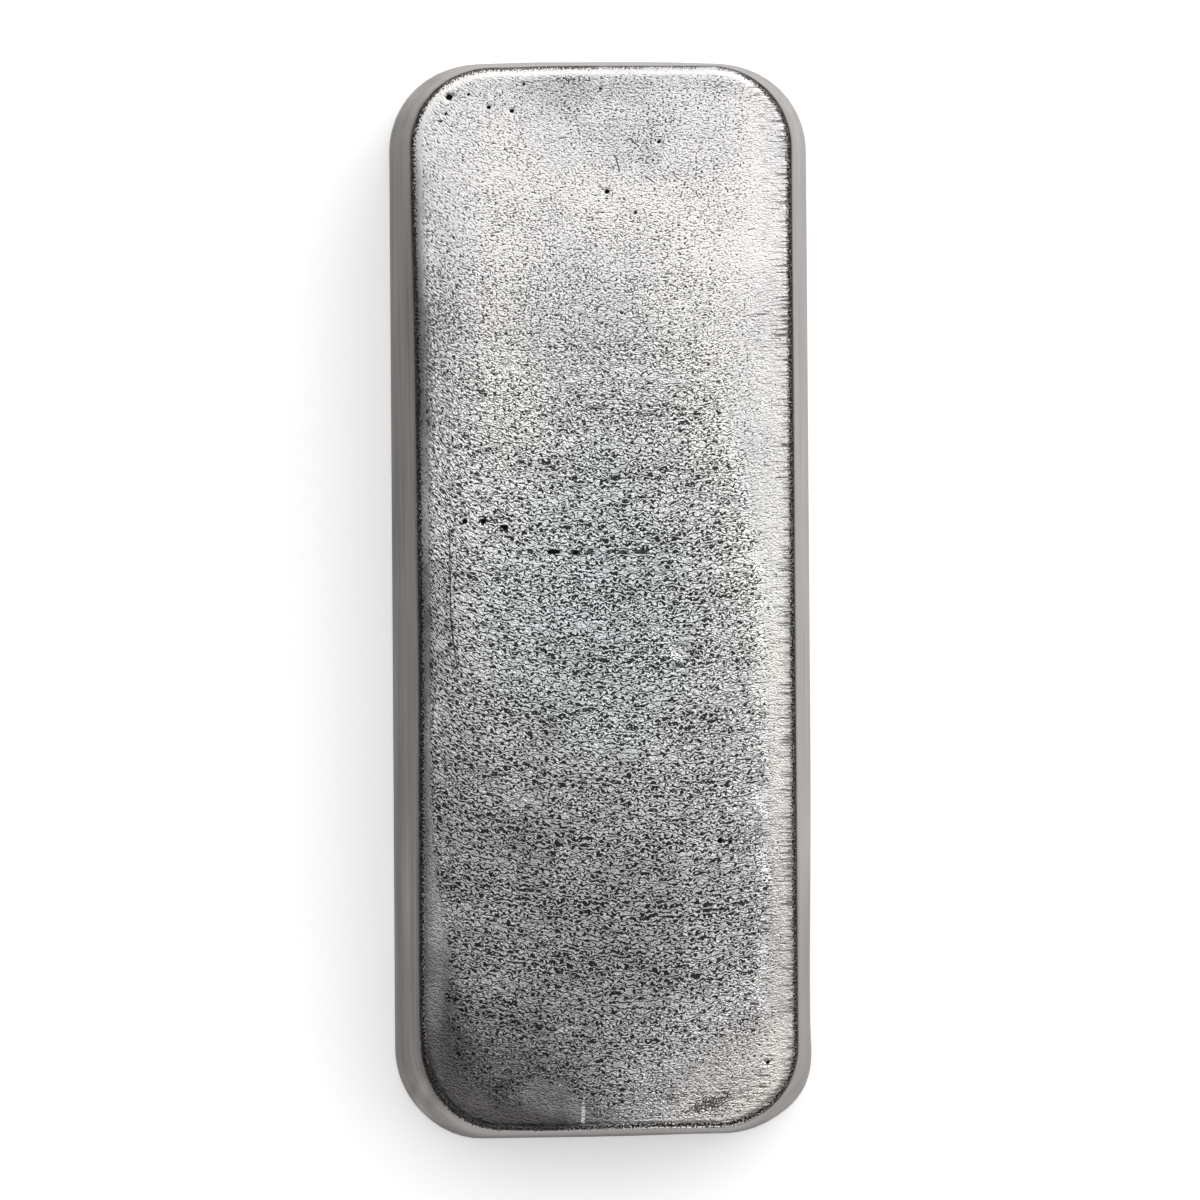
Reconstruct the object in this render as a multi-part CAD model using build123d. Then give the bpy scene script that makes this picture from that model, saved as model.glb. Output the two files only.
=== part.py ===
from build123d import *
import os
from math import cos, radians, tan

# Cast silver bar of about one kilogram, poured into an open tapered mould and turned out.
# It lies as it is stored: the side that was the open top of the pour is down, on z = 0, and
# the narrower face that took the skin of the mould's floor is up. The long side runs along Y.
# Everything is in millimetres and degrees.

# Driving dimensions
bar_length = 122.0  # overall, along Y, across the widest line of the wall
bar_width = 47.4  # overall, along X, across the same line
bar_thickness = 18.3  # from the poured side up to the face
wall_draft = 11.0  # lean of the four walls, which lets the bar drop out of the mould
poured_corner_radius = 10.4  # corners in plan, where the walls reach the poured side
face_corner_radius = 8.9  # corners in plan, round the face
face_edge_round = 1.1  # where the walls turn over into the face
rim_round = 1.5  # where the cooling metal drew back from the walls at the poured side

# What follows from them
draft_run = tan(radians(wall_draft))  # how far a wall leans out for each millimetre down
# The rounded rim takes this much off each side of the sharp outline on z = 0.
rim_setback = rim_round * (draft_run + 1 / cos(radians(wall_draft)) - 1)
poured_length = bar_length + 2 * rim_setback
poured_width = bar_width + 2 * rim_setback
face_length = poured_length - 2 * bar_thickness * draft_run
face_width = poured_width - 2 * bar_thickness * draft_run


def outline(length, width, corner_radius, height):
    """A level rectangle with round corners, the plan of the bar at one height."""
    return Plane.XY.offset(height) * RectangleRounded(width, length, corner_radius)


def tapered_block():
    """Four flat leaning walls and four cone-shaped corners between the two outlines."""
    poured_side = outline(poured_length, poured_width, poured_corner_radius, 0)
    face = outline(face_length, face_width, face_corner_radius, bar_thickness)
    return loft([poured_side, face], ruled=True)


def silver_bar():
    """The one solid: the block with its face edge and its poured rim rounded."""
    block = tapered_block()
    face_edges = block.faces().sort_by(Axis.Z)[-1].edges()
    block = fillet(face_edges, face_edge_round)
    rim_edges = block.faces().sort_by(Axis.Z)[0].edges()
    return fillet(rim_edges, rim_round)


os.makedirs("parts", exist_ok=True)
export_step(silver_bar(), "parts/silver_bar.step")
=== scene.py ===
from functools import partial
from math import atan2, cos, exp, hypot, pi, radians, sin, tan

import bpy
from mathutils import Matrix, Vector, noise


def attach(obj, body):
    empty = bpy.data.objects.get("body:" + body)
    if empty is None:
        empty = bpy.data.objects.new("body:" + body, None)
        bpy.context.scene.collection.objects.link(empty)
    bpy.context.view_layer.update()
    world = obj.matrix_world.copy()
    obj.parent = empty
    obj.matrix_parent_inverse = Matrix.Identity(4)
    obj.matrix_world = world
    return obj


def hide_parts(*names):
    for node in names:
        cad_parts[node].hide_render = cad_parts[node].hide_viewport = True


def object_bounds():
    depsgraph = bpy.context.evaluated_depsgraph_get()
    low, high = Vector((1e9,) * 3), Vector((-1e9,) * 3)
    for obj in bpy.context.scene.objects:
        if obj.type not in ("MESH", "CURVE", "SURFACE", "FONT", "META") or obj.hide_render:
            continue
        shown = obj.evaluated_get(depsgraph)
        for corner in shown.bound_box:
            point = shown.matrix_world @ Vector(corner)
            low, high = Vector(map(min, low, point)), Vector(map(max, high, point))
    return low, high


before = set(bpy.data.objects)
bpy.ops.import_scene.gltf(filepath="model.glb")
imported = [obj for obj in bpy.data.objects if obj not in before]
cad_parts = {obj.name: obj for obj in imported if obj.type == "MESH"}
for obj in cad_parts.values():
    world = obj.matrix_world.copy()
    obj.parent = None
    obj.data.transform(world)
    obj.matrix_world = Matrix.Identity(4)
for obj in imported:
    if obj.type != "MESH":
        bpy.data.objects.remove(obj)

# The cast silver bar: one closed mesh with the grain, pits and edge of the mould's skin, on a pale
# floor under soft studio light. Lengths in the bar's dictionaries are in millimetres. Where nothing
# else is said, a pair of numbers is where a change starts and where it is full, and three numbers
# are a wobble: its size, its amount and its seed.
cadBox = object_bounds()
mm = 0.001


def hexToLinear(hexColour):
    channels = [int(hexColour[i:i + 2], 16) / 255 for i in (1, 3, 5)]
    linear = [c / 12.92 if c <= 0.04045 else ((c + 0.055) / 1.055) ** 2.4 for c in channels]
    return (*linear, 1.0)


def addNode(tree, kind, inputs=None, out=0, **settings):
    # inputs maps a socket's name or number to a value, or to the output that feeds it
    node = tree.nodes.new("ShaderNode" + kind)
    for name, value in settings.items():
        setattr(node, name, value)
    for socket, value in (inputs or {}).items():
        if isinstance(value, bpy.types.NodeSocket):
            tree.links.new(value, node.inputs[socket])
        else:
            node.inputs[socket].default_value = value
    return node.outputs[out]


def smooth(start, full, value):
    # 0 at the start, 1 at full and level beyond them; the start may be the larger of the two
    t = min(1.0, max(0.0, (value - start) / (full - start)))
    return t * t * (3 - 2 * t)


def wobbleAt(wobble, x, y):
    # soft noise with lumps about this size, that adds or takes away up to about this amount
    size, amount, seed = wobble
    return amount * noise.noise(Vector((x / size, y / size, seed)))


patchEnd = 9      # square of the distance, in half widths, beyond which a patch adds nothing


def patchSum(patches, x, y):
    # each patch: centre x and y, half width, half length, turn in degrees, amount
    total = 0.0
    for cx, cy, across, along, turn, amount in patches:
        c, s = cos(radians(turn)), sin(radians(turn))
        u, v = (c * (x - cx) + s * (y - cy)) / across, (c * (y - cy) - s * (x - cx)) / along
        if u * u + v * v < patchEnd:
            total += amount * exp(-u * u - v * v)
    return total


def bySide(values, nx, ny):
    # a value for each side, blended round the corners by the direction that the side faces
    side = values["right"] if nx > 0 else values["left"]
    end = values["top"] if ny > 0 else values["bottom"]
    return nx * nx * side + ny * ny * end


cornerFade = (0.2, 0.8)      # how squarely a corner faces a side where that side's look starts and is full


def facing(n):
    # 1 along the side that faces this way, and fading round its corners
    return smooth(*cornerFade, n)


# Bar shape
bar = {
    "length": 122.0, "width": 47.4, "thickness": 18.3,
    "draft": 11.0,                    # degrees that the walls lean out
    "pouredCorner": 10.4, "faceCorner": 8.9,
    "edgeRound": 1.1, "rimRound": 1.5,
    "columns": 124, "rows": 656,      # squares of the face across and along
    "edgeRings": 9, "wallRings": 10, "rimRings": 7,
    # where the mould is out of true, outward positive
    "pouredDrift": [(23.7, -46, 14, 16, 0, -0.30), (-15, 61, 5, 6, 0, -0.24), (15, 61, 5, 5, 0, -0.22),
                    (12, -61, 8, 5, 0, -0.19), (22.6, -55.8, 4, 4, 0, 0.45), (-16.5, -60.5, 4, 3, 0, 0.12)],
    "faceDrift": [(-20, 47, 9, 16, 0, 0.38), (-20.4, -8, 8, 22, 0, -0.17), (-12.4, 57, 5, 5, 0, -0.30),
                  (-6.6, -57, 5, 5, 0, 0.16), (-19.3, -52.2, 4, 4, 0, -0.30)],
    "faceDriftReach": (6.0, 0.5),     # inside the edge, where the face starts to follow it
    # pits in the skin of the rounded edge, and how far outside the sharp edge they begin and end
    "edgePit": (0.35, 0.12, 5.3), "edgePitFrom": (-0.75, -0.45), "edgePitTo": (0.17, 0.0),
}

draft = radians(bar["draft"])
rimSetback = bar["rimRound"] * (tan(draft) + 1 / cos(draft) - 1)
halfPoured = Vector((bar["width"] / 2 + rimSetback, bar["length"] / 2 + rimSetback))
wallRun = bar["thickness"] * tan(draft)
halfFace = halfPoured - Vector((wallRun, wallRun))
edgeStart = bar["edgeRound"] * tan((pi / 2 - draft) / 2)   # from the sharp edge in to where the round begins


def edgeDistance(x, y):
    # how far inside the sharp edge of the face a point lies
    corner = bar["faceCorner"]
    qx, qy = abs(x) - (halfFace.x - corner), abs(y) - (halfFace.y - corner)
    return corner - hypot(max(qx, 0), max(qy, 0)) - min(max(qx, qy), 0)


def outwardNormal(x, y):
    corner = bar["faceCorner"]
    qx, qy = abs(x) - (halfFace.x - corner), abs(y) - (halfFace.y - corner)
    if qx > 0 and qy > 0:
        nx, ny = qx / hypot(qx, qy), qy / hypot(qx, qy)
    else:
        nx, ny = (1, 0) if qx > qy else (0, 1)
    return (nx if x > 0 else -nx), (ny if y > 0 else -ny)


# Relief of the face: slow swell, lumps, then grain that is strongest in the middle
relief = {
    "swell": (17.0, 0.05, 3.1), "lump": (2.3, 0.010, 7.7),
    "flatRim": (0.9, 3.0),            # inside the edge, where swell and lumps start
    "grainLong": 0.46, "grainShort": 0.27, "grainHeight": 0.030, "grainSeed": 19.9,
    "lowered": 0.8,                   # share of its amount that a wobble is lowered, to stay under 0
    "leastGrain": 0.13, "mostGrain": 0.88, "unevenGrain": (6.0, 0.12, 2.9),
    "weakGrain": (0.1, 0.75),         # grain as weak as this fades out
    "grainPatches": [(2, 2, 18, 28, 0, 0.74), (0, -38, 27, 20, 0, 0.68), (-17, -4, 8, 34, 0, 0.32),
                     (15, -54, 9, 6, 0, -0.45), (7.9, -5.9, 1.0, 0.9, 0, -0.65), (1, -52, 10, 4, 0, 0.12)],
    # the rows run level at the right, sink to the right on the left side, and wander a little
    "rowSlope": 0.08, "rowCurve": 0.00625, "rowWander": (1.7, 0.22, 11.3),
    "steepCurve": 0.05, "steepFrom": -13.0, "steepRows": (-35, -5),
    # worn smooth along the right edge, further in at the upper half
    "wornReach": 3.8, "wornMore": 3.5, "wornRows": (-2, 24), "wornWander": (3.0, 1.2, 8.1),
    "wornShare": (0.35, 1.3),         # shares of that reach between which the grain comes back
    # smooth band inside the edge at the lower left and the bottom
    "calmPatches": [(-18, -45, 5, 14, 0, 2.4), (-13, -56, 6, 5, 0, 1.6), (-6.5, -53, 3.4, 5, 0, 4.4)],
    "calmShore": (1.2, 0.8), "calmWander": (1.6, 0.5, 5.5), "calmFray": (0.5, 0.3, 6.6),
}


def grainPlace(x, y):
    wander = wobbleAt(relief["rowWander"], x, y)
    steep = relief["steepCurve"] * max(0.0, relief["steepFrom"] - x) ** 2 * smooth(*relief["steepRows"], y)
    return x + wander, y + relief["rowSlope"] * x - relief["rowCurve"] * x * x - steep + wander


def calmBand(x, y):
    # 1 in the smooth band inside the edge, 0 where the grain begins
    wander = 1 + wobbleAt(relief["calmWander"], x, y) + wobbleAt(relief["calmFray"], x, y)
    return smooth(*relief["calmShore"], edgeDistance(x, y) - wander * patchSum(relief["calmPatches"], x, y))


def grainStrength(x, y):
    strength = relief["leastGrain"] + patchSum(relief["grainPatches"], x, y)
    strength = min(relief["mostGrain"], strength * (1 + wobbleAt(relief["unevenGrain"], x, y)))
    reach = relief["wornReach"] + relief["wornMore"] * smooth(*relief["wornRows"], y)
    reach += wobbleAt(relief["wornWander"], x, y)
    gone, back = relief["wornShare"]
    strength *= smooth(gone * reach, back * reach, halfFace.x - x)
    return strength * (1 - calmBand(x, y))


def lowered(wobble, x, y):
    return wobbleAt(wobble, x, y) - relief["lowered"] * wobble[1]


def faceHeight(x, y, grain):
    # 0 or below, so that the face stays under the bar's thickness
    height = smooth(*relief["flatRim"], edgeDistance(x, y))
    height *= lowered(relief["swell"], x, y) + lowered(relief["lump"], x, y)
    along, across = grainPlace(x, y)
    place = Vector((along / relief["grainLong"], across / relief["grainShort"], relief["grainSeed"]))
    mound = noise.noise(place) - relief["lowered"]
    return height + relief["grainHeight"] * mound * grain * smooth(*relief["weakGrain"], grain)


def ringAt(outward):
    # half sides of the straight runs and the corner of the outline this far outside the face's sharp edge
    half = halfFace + Vector((outward, outward))
    share = max(0.0, outward) / wallRun
    corner = bar["faceCorner"] + min(outward, 0.0) + share * (bar["pouredCorner"] - bar["faceCorner"])
    return half.x - corner, half.y - corner, corner


def wallProfile():
    # (outward, height) from the face's edge round down the wall and round the rim
    points = []
    lean = pi / 2 - draft
    for k in range(1, bar["edgeRings"] + 1):
        turn = lean * k / bar["edgeRings"]
        points.append((-edgeStart + bar["edgeRound"] * sin(turn),
                       bar["thickness"] - bar["edgeRound"] * (1 - cos(turn))))
    rimCentre = halfPoured.x - rimSetback - bar["rimRound"] - halfFace.x
    rimTop = (rimCentre + bar["rimRound"] * sin(lean), bar["rimRound"] * (1 + cos(lean)))
    start = points[-1]
    for k in range(1, bar["wallRings"]):
        share = k / bar["wallRings"]
        points.append((start[0] + share * (rimTop[0] - start[0]), start[1] + share * (rimTop[1] - start[1])))
    for k in range(bar["rimRings"] + 1):
        turn = lean + (pi - lean) * k / bar["rimRings"]
        points.append((rimCentre + bar["rimRound"] * sin(turn), bar["rimRound"] * (1 + cos(turn))))
    return points


# How bright the face is, from tarnish, wear, painted shade and painted highlight (0 darkest, 0.5 plain skin,
# 1 worn silver)
toneAndShading = {
    "plain": 0.525,
    # darkening towards the lower left, less on the right side: painted shade, partly tarnish
    "lowerEnd": 0.26, "lowerLean": 0.6, "lowerRun": (0, 38.0), "lowerLess": 0.5, "lowerLessSide": (2, 16),
    # a dark strip inside the left edge, and below the middle a wider and fainter one: painted shade of the
    # dim left side
    "leftWander": (2.5, 0.3, 9.6),
    "leftStrip": 0.30, "leftStripReach": (2.0, 0.8), "leftStripRows": (54, 30),
    "leftStripLess": 0.7, "leftStripLessRows": (-8, -30),
    "leftSide": 0.04, "leftSideReach": (5.0, 2.5), "leftSideRows": (8, -4),
    # brighter edges: a painted highlight along the left half of the top, a brighter right half of the bottom,
    # and the right edge worn bright
    "topRim": 0.22, "topRimReach": (1.4, 0.5), "topRimSide": (8, -8),
    "bottomRim": 0.45, "bottomRimReach": (1.4, 0.6), "bottomRimSide": (-2, 8),
    "rightEdge": 0.14, "rightReach": 5.0, "rightWander": (7.0, 0.25, 8.8), "rightFull": 0.4,
    "rightWider": 4.0, "rightWiderRows": (15, 35), "rightBrighter": 1.5, "rightBrighterRows": (5, -40),
    "patches": [(-17, -53, 13, 9, 15, -0.16), (13, -55, 10, 6, 5, 0.50), (-6, 47, 12, 8, -20, 0.10),
                (2, 50, 8, 4, -10, -0.10), (14, 38, 9, 7, 0, 0.08), (-19.5, 24, 1.2, 9, 0, -0.12),
                (-9.5, 18, 6, 11, 0, 0.12), (18.6, -8, 2, 16, 0, 0.12), (-10, -57.3, 8, 1.8, 0, -0.26),
                (14, 4, 6, 18, 0, 0.08), (17, -35, 3, 3, 0, -0.08), (9, -15, 4, 8, 0, -0.06),
                (16.5, 31.5, 3, 3.5, 0, -0.08), (-17.6, 28, 2, 12, 0, -0.08), (-17.6, -5, 2, 5, 0, -0.08),
                (-6, 55, 11, 2, 0, -0.12), (9, 55, 4, 2.5, 0, 0.05), (18.7, 50, 1.5, 8, 0, -0.08),
                # the first patch on the next line is a painted highlight on the knob
                (7.9, -5.8, 0.8, 0.6, 0, 0.15), (-9, -55, 7, 3, 0, -0.08), (-11.2, 30, 3, 17, 0, 0.18),
                (8, 35, 7, 20, 0, 0.08), (-1, 43.5, 7, 3.5, 0, 0.10), (-19.6, 46, 1.6, 8, 0, -0.08),
                (-18.5, 1.5, 2.2, 5, 0, -0.08), (-19.8, -14, 1.5, 6, 0, 0.10), (-16.8, -46, 3.5, 8, 0, -0.08),
                (-8, -48, 8, 4.5, 0, -0.06), (14, -47, 6, 5, 0, 0.16), (16, 2, 4, 10, 0, 0.06),
                (10.5, 26, 4, 20, 0, 0.08), (4, 0, 7, 6, 0, -0.05), (-17.6, -42, 1.6, 5, 0, -0.10),
                (17.6, 29, 2, 5, 0, -0.08), (-7, 22, 6, 6, 0, 0.06), (11, 18, 3.5, 9, 0, 0.07),
                (-19.6, -46, 1.3, 5, 0, 0.10), (0, 46, 20, 13, 0, -0.03)],
    "mottle": (5.0, 0.07, 4.4), "fineMottle": (2.0, 0.035, 6.1),
    # bands that slant down to the right; a squeeze under 1 draws them out along their slant
    "band": (2.6, 0.05, 7.9), "bandSlope": 0.5, "bandSqueeze": 0.35,
}


def faceToneAndShading(x, y, inside, ny):
    amount = toneAndShading["plain"] + patchSum(toneAndShading["patches"], x, y)
    amount += wobbleAt(toneAndShading["mottle"], x, y) + wobbleAt(toneAndShading["fineMottle"], x, y)
    slope = toneAndShading["bandSlope"]
    amount += wobbleAt(toneAndShading["band"], toneAndShading["bandSqueeze"] * (x - slope * y), y + slope * x)

    low = toneAndShading["lowerEnd"] * smooth(*toneAndShading["lowerRun"], -y - toneAndShading["lowerLean"] * x)
    amount -= low * (1 - toneAndShading["lowerLess"] * smooth(*toneAndShading["lowerLessSide"], x))
    left = x + halfFace.x + wobbleAt(toneAndShading["leftWander"], x, y)
    strip = toneAndShading["leftStrip"] * smooth(*toneAndShading["leftStripReach"], left) * smooth(*toneAndShading["leftStripRows"], y)
    amount -= strip * (1 - toneAndShading["leftStripLess"] * smooth(*toneAndShading["leftStripLessRows"], y))
    amount -= toneAndShading["leftSide"] * smooth(*toneAndShading["leftSideReach"], left) * smooth(*toneAndShading["leftSideRows"], y)

    rim = toneAndShading["topRim"] * smooth(*toneAndShading["topRimReach"], inside) * smooth(*toneAndShading["topRimSide"], x)
    amount += rim * facing(ny)
    rim = toneAndShading["bottomRim"] * smooth(*toneAndShading["bottomRimReach"], inside) * smooth(*toneAndShading["bottomRimSide"], x)
    amount += rim * facing(-ny)
    reach = toneAndShading["rightReach"] * (1 + wobbleAt(toneAndShading["rightWander"], x, y))
    reach += toneAndShading["rightWider"] * smooth(*toneAndShading["rightWiderRows"], y)
    rim = toneAndShading["rightEdge"] * smooth(reach, toneAndShading["rightFull"] * reach, halfFace.x - x)
    amount += rim * (1 + toneAndShading["rightBrighter"] * smooth(*toneAndShading["rightBrighterRows"], y))
    return min(1.0, max(0.0, amount))


# Dirt of the face: creases between the wrinkles, flecks, dashes square to the right edge, and the
# dark line round the edge. A shore is the value of the noise under which the dirt lies.
dirt = {
    "crease": 0.265, "creaseInGrain": 0.60, "creaseInCalm": -0.15,     # width, and what is added to it
    "fleck": 0.39, "fleckInCalm": -0.12,
    "fleckInGrain": -0.12, "fleckGrain": (0.3, 0.8),
    "fleckWander": (4.0, 0.06, 1.7), "fleckFray": (1.2, 0.05, 7.1), "fleckSteady": 0.8,    # steady in grain
    "fleckAtRight": -0.09, "fleckRightReach": (6.0, 2.5),
    "fleckAtTop": -0.15, "fleckTopReach": (1.4, 0.8), "fleckTopRows": (-20, 0),
    "fleckTopLeft": (-19.0, -16.5), "fleckTopRight": (4, -6),
    "fleckAndShadePatches": [(-19, 18, 4.5, 20, 0, 0.06), (-18, 29, 3.5, 8, 0, 0.05), (-19, -20, 4, 22, 0, 0.05),
                     (-4, 33, 10, 6, 0, 0.04), (4, 49, 8, 5, -15, 0.05), (12.8, -54.0, 0.7, 0.6, 0, 0.16),
                     (11.2, -55.1, 1.7, 0.8, 15, 0.28), (13, 37, 7, 5, 0, -0.05), (-11, 46, 6, 5, 0, -0.03),
                     # the second patch on the next line is painted shade under the knob
                     (16.5, 31.5, 3, 2.5, 0, 0.06), (7.9, -7.5, 0.7, 0.3, 0, 0.40),
                     (17.3, -36, 1.8, 9, 0, 0.07), (0, 46, 20, 13, 0, -0.03),
                     (8.5, -55.9, 1.7, 0.4, 10, 0.16), (-3.8, 56.4, 1.7, 0.4, 0, 0.16)],
    "dash": 0.29, "dashReach": (4.6, 0.3), "dashSide": (14.0, 17.0), "dashAtEdge": 0.06,
    "dashClump": (1.0, 0.05, 4.8), "dashClumpSqueeze": 0.4,
    "fringe": 0.26, "fringeReach": (1.3, 0.1),      # short dashes right inside the line
    "dashPatches": [(12, -54.5, 7, 3.5, 0, 0.16), (18.5, -27, 4, 20, 0, 0.06), (18.5, 29, 4, 4, 0, 0.06)],
    "dashPresence": (0.0, 0.3), "dashPatchPresence": 6,      # dashes show only near the edge and in patches
    # the line: how far inside the sharp edge it reaches and where it begins (less than 0 is outside),
    # how dark it is, and how much dirt fades inwards from it
    "lineWidth": {"left": 0.40, "right": 0.40, "top": 0.26, "bottom": 0.37},
    "lineOuter": {"left": -0.3, "right": -0.3, "top": -0.3, "bottom": 0.03},
    "lineDark": {"left": 1.0, "right": 1.0, "top": 0.90, "bottom": 1.0},
    "skirt": {"left": 0.25, "right": 0.75, "top": 0.0, "bottom": 0.25},
    "skirtLess": 0.3, "skirtLessRows": (10, 35),
    # up the left side the face darkens further inwards from the line
    "leftSkirt": 0.5, "leftSkirtFrom": (10, 20), "leftSkirtTo": (50, 40), "leftSkirtFacing": (0, -0.8),
    # the line is thin and broken along the right half of the top
    "thin": 0.22, "thinSide": (-4, 2), "thinFacing": (0.9, 1.0), "thinWander": (0.7, 2, 3.7),
    "thinNarrower": 0.3,
    # and widest along the right half of the bottom
    "wide": 0.2, "wideSide": (-2, 4), "wideFacing": (-0.7, -0.95),
    "coolPatches": [(-2, 0, 15, 22, 0, 1.0)],       # slightly cooler tarnish in the middle
}


def fleckAndShadeShore(x, y, inside, grain):
    shore = dirt["fleck"] + patchSum(dirt["fleckAndShadePatches"], x, y)
    shore += dirt["fleckInGrain"] * smooth(*dirt["fleckGrain"], grain) + dirt["fleckInCalm"] * calmBand(x, y)
    wander = wobbleAt(dirt["fleckWander"], x, y) + wobbleAt(dirt["fleckFray"], x, y)
    shore += wander * (1 - dirt["fleckSteady"] * grain)
    shore += dirt["fleckAtRight"] * smooth(*dirt["fleckRightReach"], halfFace.x - x)
    # a clean rim along the left half of the top, and down the left side to the middle
    rim = smooth(*dirt["fleckTopReach"], inside) * smooth(*dirt["fleckTopRows"], y)
    rim *= smooth(*dirt["fleckTopLeft"], x) * smooth(*dirt["fleckTopRight"], x)
    return shore + dirt["fleckAtTop"] * rim


def dashShore(x, y, inside, nx):
    patches = patchSum(dirt["dashPatches"], x, y)
    patches += dirt["fringe"] * smooth(*dirt["fringeReach"], inside) * facing(nx)
    edge = smooth(*dirt["dashReach"], inside) * smooth(*dirt["dashSide"], x)
    clump = wobbleAt(dirt["dashClump"], dirt["dashClumpSqueeze"] * x, y)
    presence = smooth(*dirt["dashPresence"], edge + dirt["dashPatchPresence"] * patches)
    return dirt["dash"] * presence + dirt["dashAtEdge"] * edge + patches + clump


# Pits and a knob: x, y, radius, depth (a knob stands up, so its depth is negative)
pits = [(-16.6, 54.3, 0.36, 0.25), (-12.4, 53.3, 0.26, 0.12), (-9.9, 52.9, 0.27, 0.12),
        (0.4, 44.1, 0.30, 0.12), (3.5, 41.8, 0.22, 0.08), (6.1, 49.5, 0.24, 0.08),
        (-15.3, 8.3, 0.32, 0.14), (-13.3, 8.3, 0.34, 0.14), (-10.9, 7.6, 0.34, 0.14),
        (17.2, -50.7, 0.26, 0.15), (12.2, -26.6, 0.32, 0.10), (13.3, -26.7, 0.26, 0.10),
        (-14.6, 54.7, 0.21, 0.06), (-16.9, 52.5, 0.21, 0.06), (-17.5, 51.7, 0.21, 0.06),
        (-8.6, 55.9, 0.22, 0.06), (-11.4, 7.7, 0.20, 0.08), (-0.2, 55.3, 0.22, 0.06),
        (8.0, -6.0, 0.75, -0.10)]
pitMargin = 1.0      # how far outside its rim a pit still counts


def pitAt(x, y):
    # depth of the pits here, and how far outside the nearest rim this is
    depth, outside = 0.0, pitMargin
    for cx, cy, radius, deep in pits:
        away = hypot(x - cx, y - cy)
        if away < radius + pitMargin:
            depth += deep * exp(-(away / radius) ** 2)
            if deep > 0:
                outside = min(outside, away - radius)
    return depth, outside


# Scratches, and painted shade under the knob: from x, y to x, y, half width, darkness (a bright one is
# negative), how much it breaks up
scratchesAndShade = [(2.9, 49.9, 3.9, 49.0, 0.09, 0.8, 0), (1.35, 47.9, 1.8, 46.3, 0.09, 0.8, 0),
             (4.5, 45.8, 5.5, 45.1, 0.09, 0.8, 0), (6.4, 45.9, 6.9, 45.3, 0.08, 0.8, 0),
             (7.5, 46.2, 8.1, 45.5, 0.08, 0.6, 0), (-12.4, 53.0, -12.3, 50.8, 0.06, 0.5, 0.5),
             # the long thin one down the left side
             (-16.9, 23.0, -17.0, 7.0, 0.06, 0.5, 0.5), (-17.0, 7.0, -17.0, -2.1, 0.08, 0.9, 0.2),
             (-17.0, -2.1, -16.65, -5.1, 0.08, 0.9, 0), (-16.65, -5.1, -16.2, -7.9, 0.08, 0.8, 0),
             # the row of short dashes
             (-9.6, 4.9, -9.1, 4.9, 0.22, 0.9, 0), (-8.6, 5.0, -7.8, 4.9, 0.21, 0.9, 0),
             (-6.4, 4.9, -4.9, 4.95, 0.24, 1.0, 0), (-3.8, 4.9, -2.8, 4.8, 0.27, 1.0, 0),
             (-2.2, 4.85, -1.3, 4.8, 0.21, 0.9, 0), (0.0, 4.9, 0.6, 4.85, 0.21, 0.9, 0),
             (1.4, 4.85, 2.5, 4.8, 0.22, 0.9, 0), (3.1, 4.9, 4.6, 4.85, 0.23, 0.9, 0),
             # painted shade under the knob, and the bright gouge at the bottom
             (7.3, -7.4, 8.5, -7.55, 0.20, 0.65, 0),
             (-2.75, -53.9, -2.85, -55.3, 0.11, -0.6, 0.5), (-2.85, -55.3, -2.95, -57.0, 0.19, -0.8, 0.5)]
scratchAndShadeFade = {
    "sides": (0.7, 0.4), "ends": (-0.2, 0.1),      # from its middle line, and into it from its ends
    "breaks": (0.10, -0.05), "breakUp": (0.8, 1.0, 2.2),
    "none": 9.0,                                   # an offset far outside any scratch
}


def scratchAndShadeAt(x, y):
    # signed offset from the nearest of the scratches and the painted shade under the knob, in its half
    # widths, and its darkness here
    best = (scratchAndShadeFade["none"], 0.0)
    reach, ends = scratchAndShadeFade["sides"][0], scratchAndShadeFade["ends"]
    for x0, y0, x1, y1, half, dark, broken in scratchesAndShade:
        run = hypot(x1 - x0, y1 - y0)
        ux, uy = (x1 - x0) / run, (y1 - y0) / run
        along, offset = (x - x0) * ux + (y - y0) * uy, (y - y0) * ux - (x - x0) * uy
        if abs(offset) > reach or not ends[0] < along < run - ends[0]:
            continue
        window = smooth(*scratchAndShadeFade["sides"], abs(offset))
        window *= smooth(*ends, along) * smooth(*ends, run - along)
        window *= 1 - broken * smooth(*scratchAndShadeFade["breaks"], wobbleAt(scratchAndShadeFade["breakUp"], along, 0))
        if window > abs(best[1]):
            best = (offset / half, window * dark)
    return best


# Tone of the walls, 0 to 1: the left and bottom ones are darker than the right and top ones, painted shade as
# if lit from the upper right
walls = {
    "tone": {"left": 0.185, "right": 0.64, "top": 0.57, "bottom": 0.42},
    # painted light: a touch lighter low down on the left wall
    "leftLow": 0.01, "leftLowHeights": (12.0, 3.0), "leftLowFacing": (0.2, -0.6),
    # high up, painted shade darkens the right wall and painted light lightens the bottom one
    "high": -0.08, "highHeights": (14.5, 17.5), "bottomFacing": (-0.5, -0.9), "highAtBottom": 1.5,
    "lowerRight": -0.22, "lowerRightRows": (-26, -36),
    # the lowest part of the bottom wall darkened: dirt, and painted shade of the floor's contact shadow
    "lowEdge": -0.5, "lowEdgeHeights": (12.0, 2.5), "lowEdgeFacing": (-0.75, -0.95),
    # dirt gathers under the line round the face, less of it along the bottom
    "underLineHeights": (16.6, 17.4), "underLineLess": 0.4,
    # dirt runs along the walls: half periods along and up them
    "streak": 0.10, "streakLong": 22.0, "streakHigh": 4.0, "sideStreak": (9.0, 0.05, 3.3),
    # rubbed streaks slant down the corners: how fine they are, how far they slant and change on the way
    "cornerStreak": 0.44, "cornerFineness": 7, "cornerSlant": 0.2, "cornerChange": 0.05,
}


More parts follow.
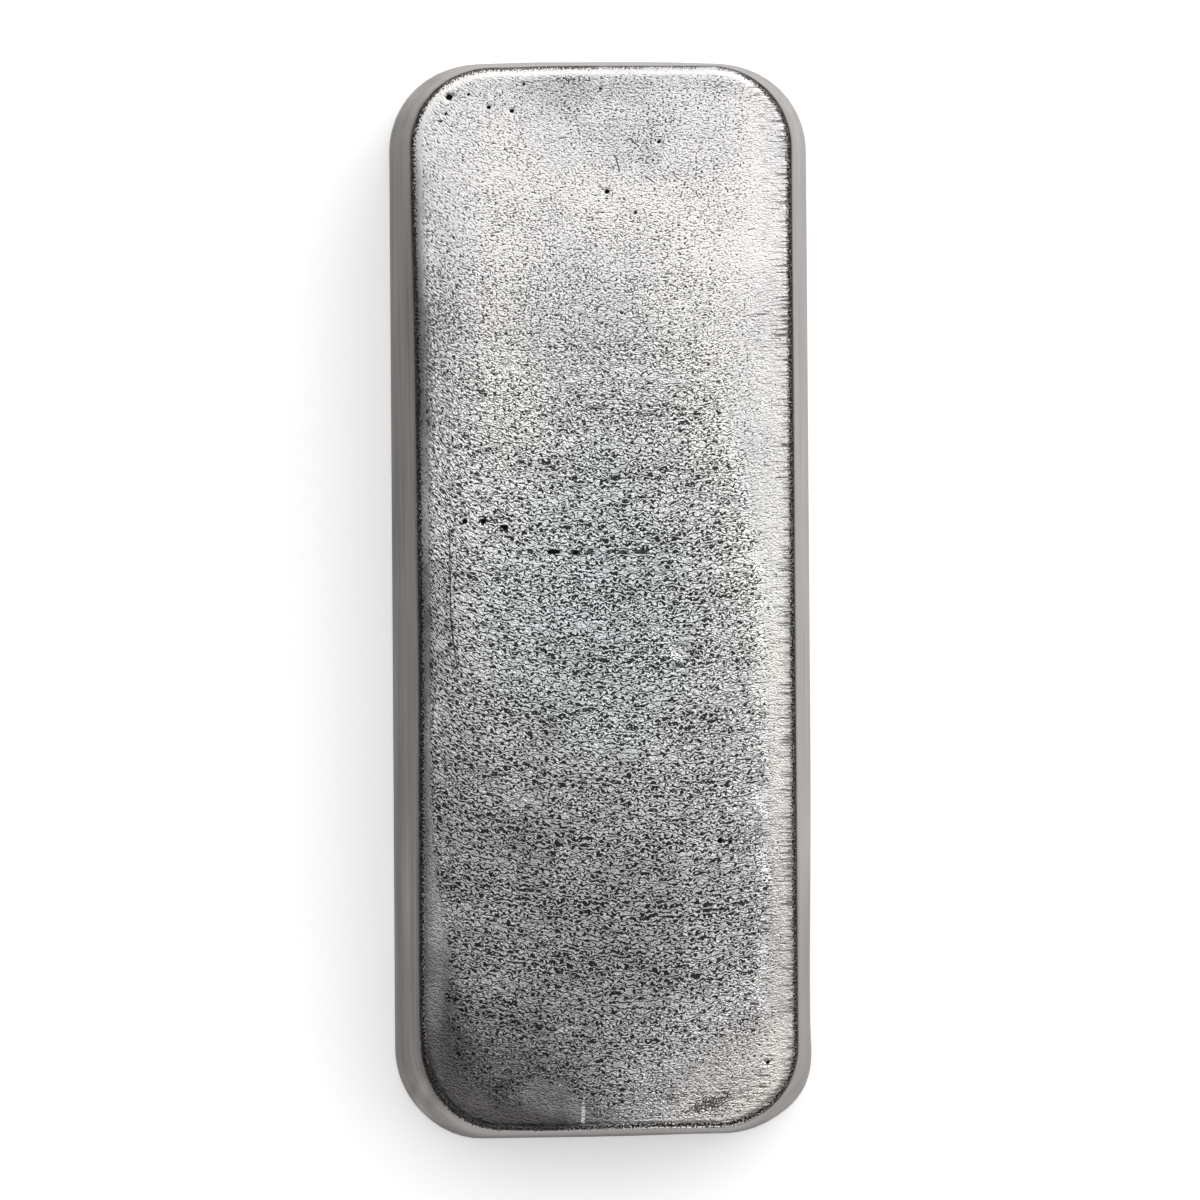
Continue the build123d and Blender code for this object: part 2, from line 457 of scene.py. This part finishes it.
def wallTone(x, y, z, nx, ny):
    tone = bySide(walls["tone"], nx, ny)
    bottom = smooth(*walls["bottomFacing"], ny)
    tone += walls["leftLow"] * smooth(*walls["leftLowHeights"], z) * smooth(*walls["leftLowFacing"], nx)
    tone += walls["high"] * smooth(*walls["highHeights"], z) * (facing(nx) - walls["highAtBottom"] * bottom)
    tone += walls["lowerRight"] * smooth(*walls["lowerRightRows"], y) * facing(nx)
    tone += walls["lowEdge"] * smooth(*walls["lowEdgeHeights"], z) * smooth(*walls["lowEdgeFacing"], ny)
    tone *= 1 - smooth(*walls["underLineHeights"], z) * (1 - walls["underLineLess"] * bottom)
    place = Vector((x / walls["streakLong"], y / walls["streakLong"], z / walls["streakHigh"]))
    tone += walls["streak"] * noise.noise(place) + wobbleAt(walls["sideStreak"], y, z)
    fineness = walls["cornerFineness"]
    place = Vector((fineness * nx + walls["cornerSlant"] * z, fineness * ny, walls["cornerChange"] * z))
    tone += walls["cornerStreak"] * abs(nx * ny) * noise.noise(place)
    return min(1.0, max(0.0, tone))


def skinAt(x, y, inside, grain, nx, ny):
    # what is painted on the face and its rounded edge
    offset, dark = scratchAndShadeAt(x, y)
    thin = dirt["thin"] * smooth(*dirt["thinSide"], x) * smooth(*dirt["thinFacing"], ny)
    thin *= 1 + wobbleAt(dirt["thinWander"], x, y)
    wide = dirt["wide"] * smooth(*dirt["wideSide"], x) * smooth(*dirt["wideFacing"], ny)
    band = inside - bySide(dirt["lineWidth"], nx, ny) - wide + dirt["thinNarrower"] * thin
    skirt = bySide(dirt["skirt"], nx, ny) * (1 - dirt["skirtLess"] * smooth(*dirt["skirtLessRows"], y))
    leftSkirt = smooth(*dirt["leftSkirtFrom"], y) * smooth(*dirt["leftSkirtTo"], y)
    skirt += dirt["leftSkirt"] * leftSkirt * smooth(*dirt["leftSkirtFacing"], nx)
    crease = dirt["crease"] + dirt["creaseInGrain"] * grain + dirt["creaseInCalm"] * calmBand(x, y)
    return {"grain": grain * smooth(*relief["weakGrain"], grain), "crease": crease,
            "fleck": fleckAndShadeShore(x, y, inside, grain), "dash": dashShore(x, y, inside, nx), "inside": inside,
            "band": max(band, bySide(dirt["lineOuter"], nx, ny) - inside),
            "lineDark": bySide(dirt["lineDark"], nx, ny) - thin, "skirt": skirt,
            "toneAndShading": faceToneAndShading(x, y, inside, ny), "pit": pitAt(x, y)[1], "scratchAndShadeOffset": offset,
            "scratchAndShadeDark": dark, "cool": patchSum(dirt["coolPatches"], x, y)}


def buildBar():
    columns, rows = bar["columns"], bar["rows"]
    straightX, straightY, corner = ringAt(-edgeStart)
    halfX, halfY = straightX + corner, straightY + corner
    top = bar["thickness"]
    lowest, highest = cadBox
    plan, coords, places, faces = [], [], [], []
    painted = {name: [] for name in skinAt(0, 0, 1, 0, 1, 0)}

    def roundCorner(x, y):
        # squares in the four corners are drawn in to the arc
        a, b = (abs(x) - straightX) / corner, (abs(y) - straightY) / corner
        if a <= 0 or b <= 0:
            return x, y
        nx, ny = a * (1 - b * b / 2) ** 0.5, b * (1 - a * a / 2) ** 0.5
        sx, sy = (1 if x > 0 else -1), (1 if y > 0 else -1)
        return sx * (straightX + corner * nx), sy * (straightY + corner * ny)

    def addPoint(x, y, z, nx, ny, inside, share, grain):
        # share: 0 at the face's edge, 1 at the poured side's outline
        drift = (1 - share) * patchSum(bar["faceDrift"], x, y) * smooth(*bar["faceDriftReach"], inside)
        if share > 0:
            drift += share * patchSum(bar["pouredDrift"], x, y)
        plan.append((x, y))
        # drift never takes the bar out of the box of the solid
        coords.append((min(highest[0], max(lowest[0], (x + nx * drift) * mm)),
                       min(highest[1], max(lowest[1], (y + ny * drift) * mm)), z * mm))
        places.extend((*grainPlace(x, y), z))
        values = skinAt(x, y, inside, grain, nx, ny)
        if share > 0:
            values["toneAndShading"] = wallTone(x, y, z, nx, ny)
        for name, value in values.items():
            painted[name].append(value)

    for j in range(rows + 1):
        for i in range(columns + 1):
            x, y = roundCorner(halfX * (2 * i / columns - 1), halfY * (2 * j / rows - 1))
            grain = grainStrength(x, y)
            z = top + min(0.0, faceHeight(x, y, grain) - pitAt(x, y)[0])
            addPoint(x, y, z, *outwardNormal(x, y), edgeDistance(x, y), 0.0, grain)
    stride = columns + 1
    for j in range(rows):
        for i in range(columns):
            a = j * stride + i
            faces.append((a, a + 1, a + stride + 1, a + stride))

    # the face's outline, anticlockwise
    loop = list(range(columns))
    loop += [j * stride + columns for j in range(rows)]
    loop += [rows * stride + i for i in range(columns, 0, -1)]
    loop += [j * stride for j in range(rows, 0, -1)]

    def stepOut(index):
        # where a point of the outline sits on any ring: a share of the straight part and a direction
        x, y = plan[index]
        turn = atan2(max(0.0, abs(y) - straightY), max(0.0, abs(x) - straightX))
        sx, sy = (1 if x > 0 else -1), (1 if y > 0 else -1)
        shareX, shareY = min(1.0, abs(x) / straightX), min(1.0, abs(y) / straightY)
        return sx * shareX, sy * shareY, sx * cos(turn), sy * sin(turn)

    def addRing(steps, outward, height):
        sideX, sideY, radius = ringAt(outward)
        first = len(coords)
        pitted = smooth(*bar["edgePitFrom"], outward) * smooth(*bar["edgePitTo"], outward)
        share = min(1.0, max(0.0, outward) / wallRun)
        for shareX, shareY, nx, ny in steps:
            x, y = shareX * sideX + nx * radius, shareY * sideY + ny * radius
            pit = pitted * max(0.0, wobbleAt(bar["edgePit"], x, y))
            addPoint(x - nx * pit, y - ny * pit, height - pit, nx, ny, -outward, share, relief["leastGrain"])
        return list(range(first, first + len(steps)))

    steps = [stepOut(index) for index in loop]
    for k, (outward, height) in enumerate(wallProfile()):
        if k == bar["edgeRings"]:
            skinCount = len(faces)
        halved = k in (1, bar["edgeRings"])
        kept = steps[::2] if halved else steps
        ring = addRing(kept, outward, height)
        for n in range(len(ring)):
            m = (n + 1) % len(ring)
            if halved:
                # half as many points from here on, joined by five-sided faces
                faces.append((loop[2 * n], ring[n], ring[m], loop[(2 * n + 2) % len(loop)], loop[2 * n + 1]))
            else:
                faces.append((loop[n], ring[n], ring[m], loop[m]))
        loop, steps = ring, kept
    faces.append(tuple(reversed(loop)))

    mesh = bpy.data.meshes.new("castSilverBar")
    mesh.from_pydata(coords, [], faces)
    mesh.polygons.foreach_set("use_smooth", [True] * len(faces))
    mesh.polygons.foreach_set("material_index", [0] * skinCount + [1] * (len(faces) - skinCount))
    mesh.attributes.new("place", "FLOAT_VECTOR", "POINT").data.foreach_set("vector", places)
    for name, values in painted.items():
        mesh.attributes.new(name, "FLOAT", "POINT").data.foreach_set("value", values)
    mesh.update()
    print("bar:", len(mesh.vertices), "points,", sum(len(p.vertices) - 2 for p in mesh.polygons), "triangles")
    piece = bpy.data.objects.new("cast_silver_bar", mesh)
    bpy.context.scene.collection.objects.link(piece)
    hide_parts("silver_bar")
    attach(piece, "root")
    return piece


# Silver skin that froze against the mould: pale and satin, dark where dirt fills its grain
skin = {
    "tarnishedAndShaded": "#5D5A5B", "plain": "#DAD8D9", "wornAndHighlit": "#FFFBF3", "oxide": "#151413", "coolTint": "#F6FFFF",
    "plainAt": 0.5, "roughness": 0.26, "oxideRoughness": 0.55,
    # half periods of the patterns, along and across the rows, as read off the photo; it shows nothing
    # finer than 0.1 mm, so real dirt that is finer is drawn this coarse
    "fine": (0.36, 0.17), "fleck": (0.27, 0.17), "dot": (0.40, 0.36),
    "dash": (2.6, 0.12), "rag": (0.20, 0.20),
    # full spacing of the rows of wrinkles, how long and how tall their bends are, how far they bend
    "rowPeriod": 0.50, "rowWave": (0.62, 0.54), "rowTwist": 10.0,
    # how high up the wave a crease reaches at most, how much the fine grain breaks it, how soft its edge is
    "widest": 0.42, "broken": 0.80, "creaseEdge": 0.05,
    "dotShore": 0.17, "spotEdge": (-0.02, 0.06),
    "darkness": {"crease": 0.95, "fleck": 0.9, "dot": 0.95, "dash": 0.80},
    # the line's ragged side, its lighter blotches, and the dirt that fades inwards from it
    "rags": 1.1, "bandEdge": 0.05, "blotch": (0.50, 0.68), "blotchDark": 0.82, "skirtReach": (1.3, 0.10),
    "pitEdge": 0.05, "scratchEdge": (1.3, 0.7),
    # the wrinkles stand up between the creases, with fine grain on them, all drawn higher than it is
    "fineHeight": 0.50, "domeEdge": 0.60, "domeShare": 0.7, "fineShare": 0.5, "leastHeight": 0.04,
}


def castSilverSkin():
    material = bpy.data.materials.new("castSilverSkin")
    material.use_nodes = True
    add = partial(addNode, material.node_tree)
    shader = material.node_tree.nodes["Principled BSDF"]
    onRows = add("Attribute", out="Vector", attribute_name="place")
    onPlan = add("VectorMath", {0: add("TexCoord", out="Object"), "Scale": 1 / mm}, operation="SCALE")
    painted = {}
    for name in ("grain", "crease", "fleck", "dash", "inside", "band", "lineDark", "skirt", "toneAndShading", "pit",
                 "scratchAndShadeOffset", "scratchAndShadeDark", "cool"):
        painted[name] = add("Attribute", out="Fac", attribute_name=name)
    spots = {}
    for name, vector in (("fine", onRows), ("fleck", onRows), ("dot", onRows),
                         ("dash", onPlan), ("rag", onPlan)):
        long, short = skin[name]
        scaled = add("VectorMath", {0: vector, 1: (1 / long, 1 / short, 0)}, operation="MULTIPLY")
        spots[name] = add("TexNoise", {"Vector": scaled, "Scale": 1.0, "Detail": 1.0}, noise_dimensions="2D")

    # wavy rows of wrinkles with dirty creases between them, wide where the fine grain is low, broken off
    # where it is high; the texture has 10 / pi rows to a unit
    long, short = skin["rowWave"]
    stretch = 0.1 * pi / skin["rowPeriod"]
    rows = add("VectorMath", {0: onRows, 1: (stretch * short / long, stretch, 0)}, operation="MULTIPLY")
    wrinkle = add("TexWave", {"Vector": rows, "Scale": 1.0, "Distortion": skin["rowTwist"], "Detail": 1.0,
                              "Detail Scale": 1 / (stretch * short)}, out="Fac", bands_direction="Y")
    width = add("Math", {0: spots["fine"], 1: -skin["broken"], 2: painted["crease"]},
                operation="MULTIPLY_ADD")
    width = add("Math", {0: width, 1: skin["widest"]}, operation="MINIMUM")
    over = add("Math", {0: width, 1: wrinkle}, operation="SUBTRACT")
    layers = [add("MapRange", {"Value": over, "From Min": -skin["creaseEdge"], "From Max": skin["creaseEdge"],
                               "To Max": skin["darkness"]["crease"]}, interpolation_type="SMOOTHSTEP")]

    # flecks, round dots and dashes, each where its noise is under its shore
    start, full = skin["spotEdge"]
    for name, shore in (("fleck", painted["fleck"]), ("dot", skin["dotShore"]), ("dash", painted["dash"])):
        over = add("Math", {0: shore, 1: spots[name]}, operation="SUBTRACT")
        layers.append(add("MapRange", {"Value": over, "From Min": start, "From Max": full,
                                       "To Max": skin["darkness"][name]}, interpolation_type="SMOOTHSTEP"))

    # the line round the face: a blotched band with a ragged inner side, and dirt that fades inwards from it
    ragged = add("Math", {0: spots["rag"], 1: skin["rags"], 2: -0.5 * skin["rags"]}, operation="MULTIPLY_ADD")
    shore = add("Math", {0: painted["band"], 1: ragged}, operation="ADD")
    band = add("MapRange", {"Value": shore, "From Min": skin["bandEdge"], "From Max": -skin["bandEdge"]},
               interpolation_type="SMOOTHSTEP")
    start, full = skin["blotch"]
    blotch = add("MapRange", {"Value": spots["fleck"], "From Min": start, "From Max": full,
                              "To Min": 1.0, "To Max": skin["blotchDark"]})
    band = add("Math", {0: band, 1: blotch}, operation="MULTIPLY")
    layers.append(add("Math", {0: band, 1: painted["lineDark"]}, operation="MULTIPLY"))
    start, full = skin["skirtReach"]
    skirt = add("MapRange", {"Value": painted["inside"], "From Min": start, "From Max": full, "To Max": 1.0})
    layers.append(add("Math", {0: skirt, 1: painted["skirt"]}, operation="MULTIPLY"))

    # pits, scratches, and painted shade under the knob
    layers.append(add("MapRange", {"Value": painted["pit"], "From Min": skin["pitEdge"],
                                   "From Max": -skin["pitEdge"]}, interpolation_type="SMOOTHSTEP"))
    offset = add("Math", {0: painted["scratchAndShadeOffset"]}, operation="ABSOLUTE")
    start, full = skin["scratchEdge"]
    scratchAndShade = add("MapRange", {"Value": offset, "From Min": start, "From Max": full},
                  interpolation_type="SMOOTHSTEP")
    scratchAndShade = add("Math", {0: scratchAndShade, 1: painted["scratchAndShadeDark"]}, operation="MULTIPLY")
    layers.append(scratchAndShade)
    dark = layers[0]
    for layer in layers[1:]:
        dark = add("Math", {0: dark, 1: layer}, operation="MAXIMUM")

    # a bright scratch shows worn silver
    bright = add("Math", {0: scratchAndShade, 1: -1.0}, operation="MULTIPLY", use_clamp=True)
    polishAndShading = add("Math", {0: painted["toneAndShading"], 1: bright}, operation="MAXIMUM")
    keep = add("Math", {0: 1.0, 1: bright}, operation="SUBTRACT")
    dark = add("Math", {0: dark, 1: keep}, operation="MULTIPLY")

    # from tarnish and painted shade through plain skin to worn silver and painted highlight
    tone = add("ValToRGB", {0: polishAndShading})
    elements = tone.node.color_ramp.elements
    elements[0].color = hexToLinear(skin["tarnishedAndShaded"])
    elements[1].color = hexToLinear(skin["wornAndHighlit"])
    elements.new(skin["plainAt"]).color = hexToLinear(skin["plain"])
    # Mix has one set of sockets for each data type: 0 is the share, 6 and 7 are the colours, 2 comes out
    colour = add("Mix", {0: dark, 6: tone, 7: hexToLinear(skin["oxide"])}, out=2, data_type="RGBA")
    colour = add("Mix", {0: painted["cool"], 6: colour, 7: hexToLinear(skin["coolTint"])}, out=2,
                 data_type="RGBA", blend_type="MULTIPLY")

    dome = add("MapRange", {"Value": wrinkle, "From Min": 0.0, "From Max": skin["domeEdge"],
                            "To Max": skin["domeShare"]}, interpolation_type="SMOOTHSTEP")
    height = add("Math", {0: spots["fine"], 1: skin["fineShare"], 2: dome}, operation="MULTIPLY_ADD")
    strength = add("Math", {0: painted["grain"], 1: skin["leastHeight"]}, operation="MAXIMUM")
    height = add("Math", {0: height, 1: strength}, operation="MULTIPLY")
    bump = add("Bump", {"Height": height, "Strength": 1.0, "Distance": skin["fineHeight"] * mm})
    roughness = add("MapRange", {"Value": dark, "To Min": skin["roughness"],
                                 "To Max": skin["oxideRoughness"]})
    shader.inputs["Metallic"].default_value = 1.0
    for socket, value in (("Base Color", colour), ("Roughness", roughness), ("Normal", bump)):
        material.node_tree.links.new(value, shader.inputs[socket])
    return material


# Silver that froze against the mould's smooth walls: even and dull, darkened partly by dirt and partly by
# painted shade, so it shows the floor darker than it is
wallSkin = {
    "dirtyAndShaded": "#3C3938", "dull": "#85817F", "clean": "#D6D3D2", "glancing": "#D0CDCB",
    "dullAt": 0.3, "roughness": 0.32,
    # half period of the streaks along the walls and up them, and how much they change the tone
    "streak": (22.0, 1.1), "streakTone": 0.5,
}


def mouldSmoothSilver():
    material = bpy.data.materials.new("mouldSmoothSilver")
    material.use_nodes = True
    add = partial(addNode, material.node_tree)
    shader = material.node_tree.nodes["Principled BSDF"]
    long, short = [mm * size for size in wallSkin["streak"]]
    place = add("TexCoord", out="Object")
    place = add("VectorMath", {0: place, 1: (1 / long, 1 / long, 1 / short)}, operation="MULTIPLY")
    streak = add("TexNoise", {"Vector": place, "Scale": 1.0, "Detail": 2.0})
    streak = add("Math", {0: streak, 1: wallSkin["streakTone"], 2: -0.5 * wallSkin["streakTone"]},
                 operation="MULTIPLY_ADD")
    dirtyAndShaded = add("Math", {0: add("Attribute", out="Fac", attribute_name="toneAndShading"), 1: streak}, operation="ADD")
    tone = add("ValToRGB", {0: dirtyAndShaded})
    elements = tone.node.color_ramp.elements
    elements[0].color = hexToLinear(wallSkin["dirtyAndShaded"])
    elements[1].color = hexToLinear(wallSkin["clean"])
    elements.new(wallSkin["dullAt"]).color = hexToLinear(wallSkin["dull"])
    shader.inputs["Metallic"].default_value = 1.0
    shader.inputs["Roughness"].default_value = wallSkin["roughness"]
    # a darkened glancing colour: painted shade, so that the walls mirror the white floor darker, as if it lay
    # in shadow
    shader.inputs["Specular Tint"].default_value = hexToLinear(wallSkin["glancing"])
    material.node_tree.links.new(tone, shader.inputs["Base Color"])
    return material


piece = buildBar()
piece.data.materials.append(castSilverSkin())
piece.data.materials.append(mouldSmoothSilver())
print("materials:", ", ".join(material.name for material in piece.data.materials))

# Floor, lamp and room, with lengths in metres
studio = {
    "floorColour": "#F6F6F6", "floorRoughness": 0.9, "floorSize": 6.0, "floorGlow": 0.30,
    "panelSize": 1.0, "panelPlace": (0.60, 0.60, 0.8), "panelPower": 4.0,
    # overhead, the half of the room beyond the bar's far end is bright and the near half dark
    "brightSide": (0.22, 1.0, 0.0), "fade": (-0.30, 0.12), "brightness": 1.19,
    "brightColour": "#FFFFFF", "darkColour": "#4C4C4E",
    "walls": (0.62, 0.36),       # below this height of the direction the room is bright all round
}


def paperFloor():
    # matt white paper: an even pale ground that keeps the bar's shadow
    material = bpy.data.materials.new("paperFloor")
    material.use_nodes = True
    add = partial(addNode, material.node_tree)
    shader = material.node_tree.nodes["Principled BSDF"]
    shader.inputs["Base Color"].default_value = hexToLinear(studio["floorColour"])
    shader.inputs["Roughness"].default_value = studio["floorRoughness"]
    shader.inputs["Emission Color"].default_value = (1, 1, 1, 1)
    # whiter where it is seen or mirrored, with no more light on the bar
    seen = add("LightPath", out="Is Camera Ray")
    for ray in ("Is Glossy Ray", "Is Transmission Ray"):
        seen = add("Math", {0: seen, 1: add("LightPath", out=ray)}, operation="MAXIMUM")
    glow = add("Math", {0: seen, 1: studio["floorGlow"]}, operation="MULTIPLY")
    material.node_tree.links.new(glow, shader.inputs["Emission Strength"])
    return material


half = studio["floorSize"] / 2
floorMesh = bpy.data.meshes.new("floor")
floorMesh.from_pydata([(-half, -half, 0), (half, -half, 0), (half, half, 0), (-half, half, 0)], [],
                      [(0, 1, 2, 3)])
floorMesh.materials.append(paperFloor())
floor = bpy.data.objects.new("floor", floorMesh)
bpy.context.scene.collection.objects.link(floor)

panel = bpy.data.lights.new("panel", "AREA")
panel.shape = "SQUARE"
panel.size = studio["panelSize"]
panel.energy = studio["panelPower"]
panelObject = bpy.data.objects.new("panel", panel)
panelObject.location = studio["panelPlace"]
panelObject.rotation_euler = (-panelObject.location).to_track_quat("-Z", "Y").to_euler()
bpy.context.scene.collection.objects.link(panelObject)

world = bpy.data.worlds.new("studio")
world.use_nodes = True
add = partial(addNode, world.node_tree)
direction = add("TexCoord", out="Generated")
beyond = add("VectorMath", {0: direction, 1: Vector(studio["brightSide"]).normalized()}, out="Value",
             operation="DOT_PRODUCT")
overhead = add("MapRange", {"Value": beyond, "From Min": studio["fade"][0], "From Max": studio["fade"][1]},
               interpolation_type="SMOOTHSTEP")
rise = add("SeparateXYZ", {0: direction}, out="Z")
around = add("MapRange", {"Value": rise, "From Min": studio["walls"][0], "From Max": studio["walls"][1]},
             interpolation_type="SMOOTHSTEP")
share = add("Math", {0: overhead, 1: around}, operation="MAXIMUM")
sky = add("Mix", {0: share, 6: hexToLinear(studio["darkColour"]), 7: hexToLinear(studio["brightColour"])},
          out=2, data_type="RGBA")
background = world.node_tree.nodes["Background"]
background.inputs["Strength"].default_value = studio["brightness"]
world.node_tree.links.new(sky, background.inputs["Color"])
bpy.context.scene.world = world
print("studio: floor, panel and room")

# Camera over the bar: place in millimetres, turn in degrees, lens on a 36 mm sensor
view = {"place": (-12.763, -4.38, 389.623), "turn": (0.635, -1.859, -0.401), "lens": 102.602, "sensor": 36.0}
camera = bpy.data.cameras.new("camera")
camera.lens = view["lens"]
camera.sensor_width = view["sensor"]
cameraObject = bpy.data.objects.new("camera", camera)
cameraObject.location = [v * mm for v in view["place"]]
cameraObject.rotation_euler = [radians(v) for v in view["turn"]]
bpy.context.scene.collection.objects.link(cameraObject)
bpy.context.scene.camera = cameraObject
bpy.context.scene.view_settings.view_transform = "Standard"
print("camera: lens", view["lens"], "mm")
